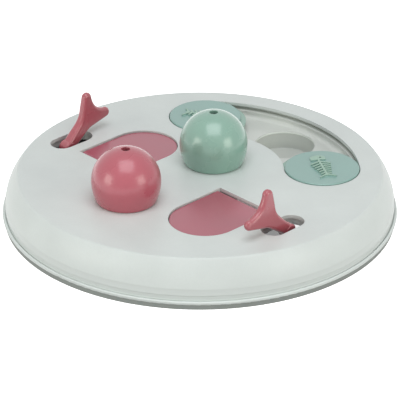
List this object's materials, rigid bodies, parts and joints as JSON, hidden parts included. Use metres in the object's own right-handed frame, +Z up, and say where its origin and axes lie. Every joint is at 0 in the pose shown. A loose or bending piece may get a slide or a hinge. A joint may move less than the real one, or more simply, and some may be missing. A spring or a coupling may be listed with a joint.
{
  "type": "cat activity board",
  "caption": "Round cat activity board with flip lids worked by fish-tail levers, discs that slide in an arc channel, and lift-off balls over treat wells.",
  "frame": {"origin": "centre of the board, on the surface that it stands on", "axes": "+Z up, +Y towards the middle of the arc channel, +X to the right"},
  "size_m": [0.23, 0.23, 0.0591],
  "materials": {
    "cover": "fine matte moulded plastic, pale grey",
    "ring": "matte soft rubber, mid grey",
    "tray": "fine matte moulded plastic, warm pale grey",
    "pink": "satin moulded plastic, dusty pink",
    "mint": "satin moulded plastic, mint green",
    "steel": "plain zinc-plated steel"
  },
  "bodies": {
    "board": {"top_cover": "cover", "non_slip_ring": "ring", "slider_tray": "tray", "tray_screws": "steel", "flap_cup_left": "tray", "flap_cup_right": "tray", "ball_cup_red": "tray", "ball_cup_green": "tray", "hinge_cap_left_outer": "cover", "hinge_cap_left_inner": "cover", "hinge_cap_right_outer": "cover", "hinge_cap_right_inner": "cover", "hinge_cap_screws": "steel"},
    "flap_left": {"flap_left_lid": "pink", "hinge_rod_left": "steel", "tail_lever_left": "pink"},
    "flap_right": {"flap_right_lid": "pink", "hinge_rod_right": "steel", "tail_lever_right": "pink"},
    "slider_left": {"slider_left_disc": "mint", "slider_left_runner": "mint", "slider_left_screw": "steel"},
    "slider_right": {"slider_right_disc": "mint", "slider_right_runner": "mint", "slider_right_screw": "steel"},
    "red_ball": {"ball_red": "pink"},
    "green_ball": {"ball_green": "mint"}
  },
  "joints": [
    {"name": "flap_left_hinge", "type": "hinge", "parent": "board", "child": "flap_left", "pos_m": [-0.0454, -0.0314, 0.0233], "axis": [1, 0, 0], "range_deg": [0, 90]},
    {"name": "flap_right_hinge", "type": "hinge", "parent": "board", "child": "flap_right", "pos_m": [0.0454, -0.0112, 0.0233], "axis": [-1, 0, 0], "range_deg": [0, 90]},
    {"name": "slider_left_slide", "type": "hinge", "parent": "board", "child": "slider_left", "pos_m": [0, 0, 0.024], "axis": [0, 0, -1], "range_deg": [0, 22.4]},
    {"name": "slider_right_slide", "type": "hinge", "parent": "board", "child": "slider_right", "pos_m": [0, 0, 0.024], "axis": [0, 0, 1], "range_deg": [0, 22.4]},
    {"name": "red_ball_lift", "type": "slide", "parent": "board", "child": "red_ball", "axis": [0, 0, 1], "range_m": [0, 0.04]},
    {"name": "green_ball_lift", "type": "slide", "parent": "board", "child": "green_ball", "axis": [0, 0, 1], "range_m": [0, 0.04]}
  ]
}
